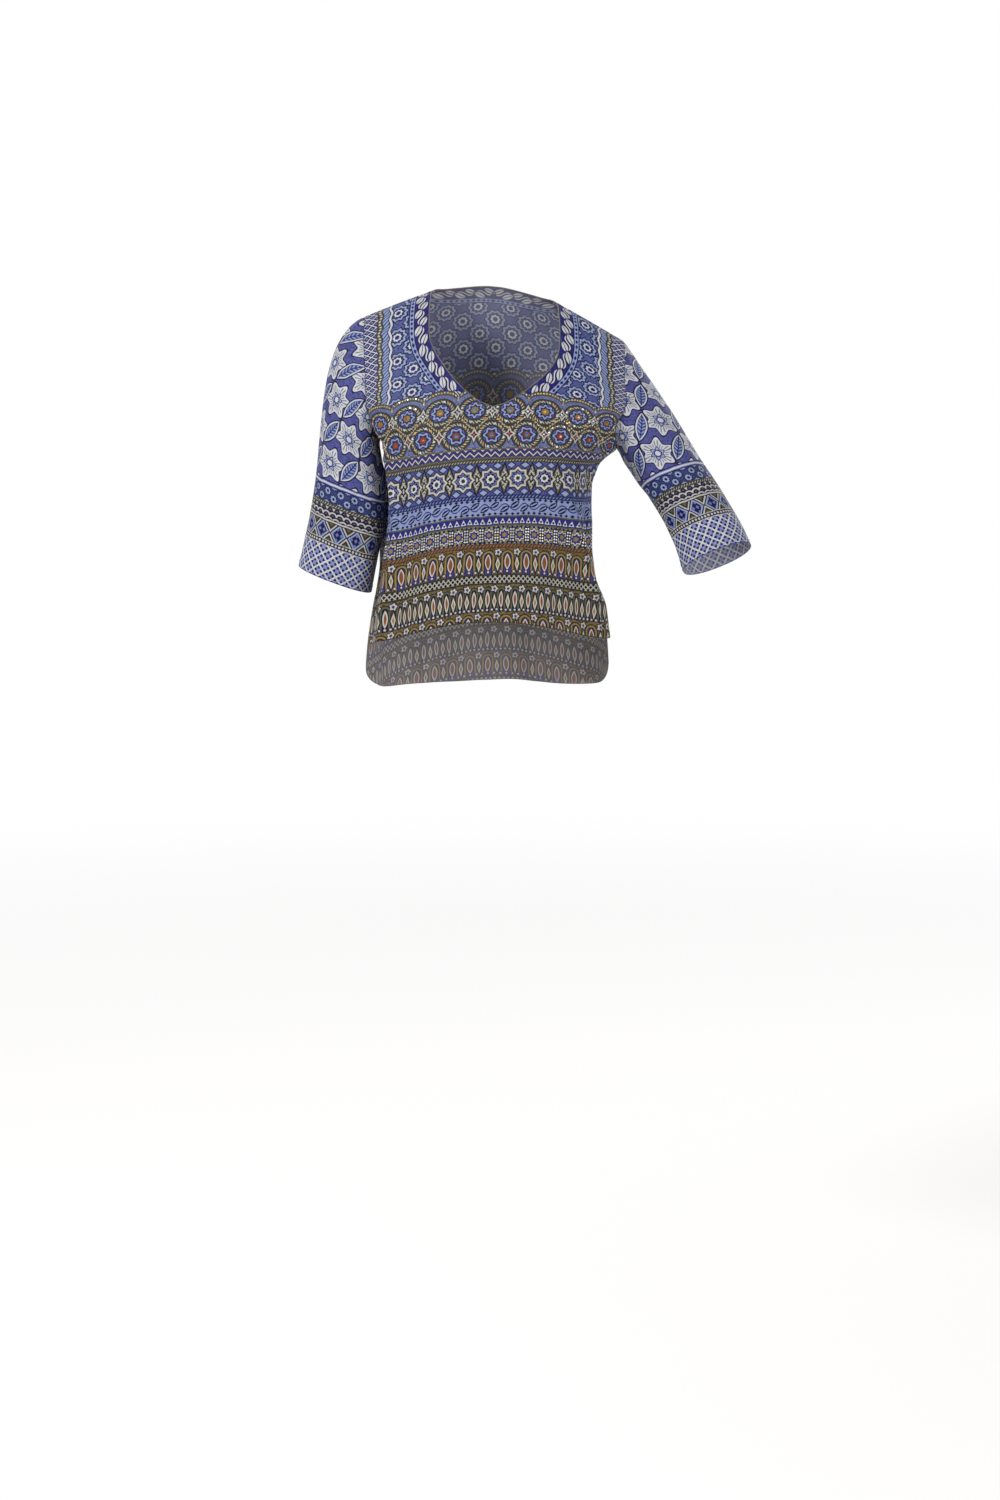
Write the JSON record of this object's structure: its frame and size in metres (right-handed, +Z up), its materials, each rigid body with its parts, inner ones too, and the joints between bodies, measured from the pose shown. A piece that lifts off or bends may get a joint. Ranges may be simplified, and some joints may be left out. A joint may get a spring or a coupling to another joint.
{
  "type": "blouse",
  "caption": "Hip-length blouse in its worn, hollow form, with a soft V neck, wide elbow sleeves and a hem split at the sides and longer behind.",
  "frame": {"origin": "midway between the two neck points, where the shoulder seams meet the neckline and the wearer's shoulders carry the blouse", "axes": "+X towards the wearer's left, -Y out of the front, +Z up; the blouse hangs down from the origin"},
  "size_m": [0.608, 0.2434, 0.5472],
  "materials": {
    "front_crepe": "matt printed silk crepe",
    "back_crepe": "matt printed silk crepe",
    "sleeve_left_crepe": "matt printed silk crepe",
    "sleeve_right_crepe": "matt printed silk crepe"
  },
  "bodies": {
    "root": {"front": "front_crepe", "back": "back_crepe", "sleeve_left": "sleeve_left_crepe", "sleeve_right": "sleeve_right_crepe"}
  },
  "joints": []
}
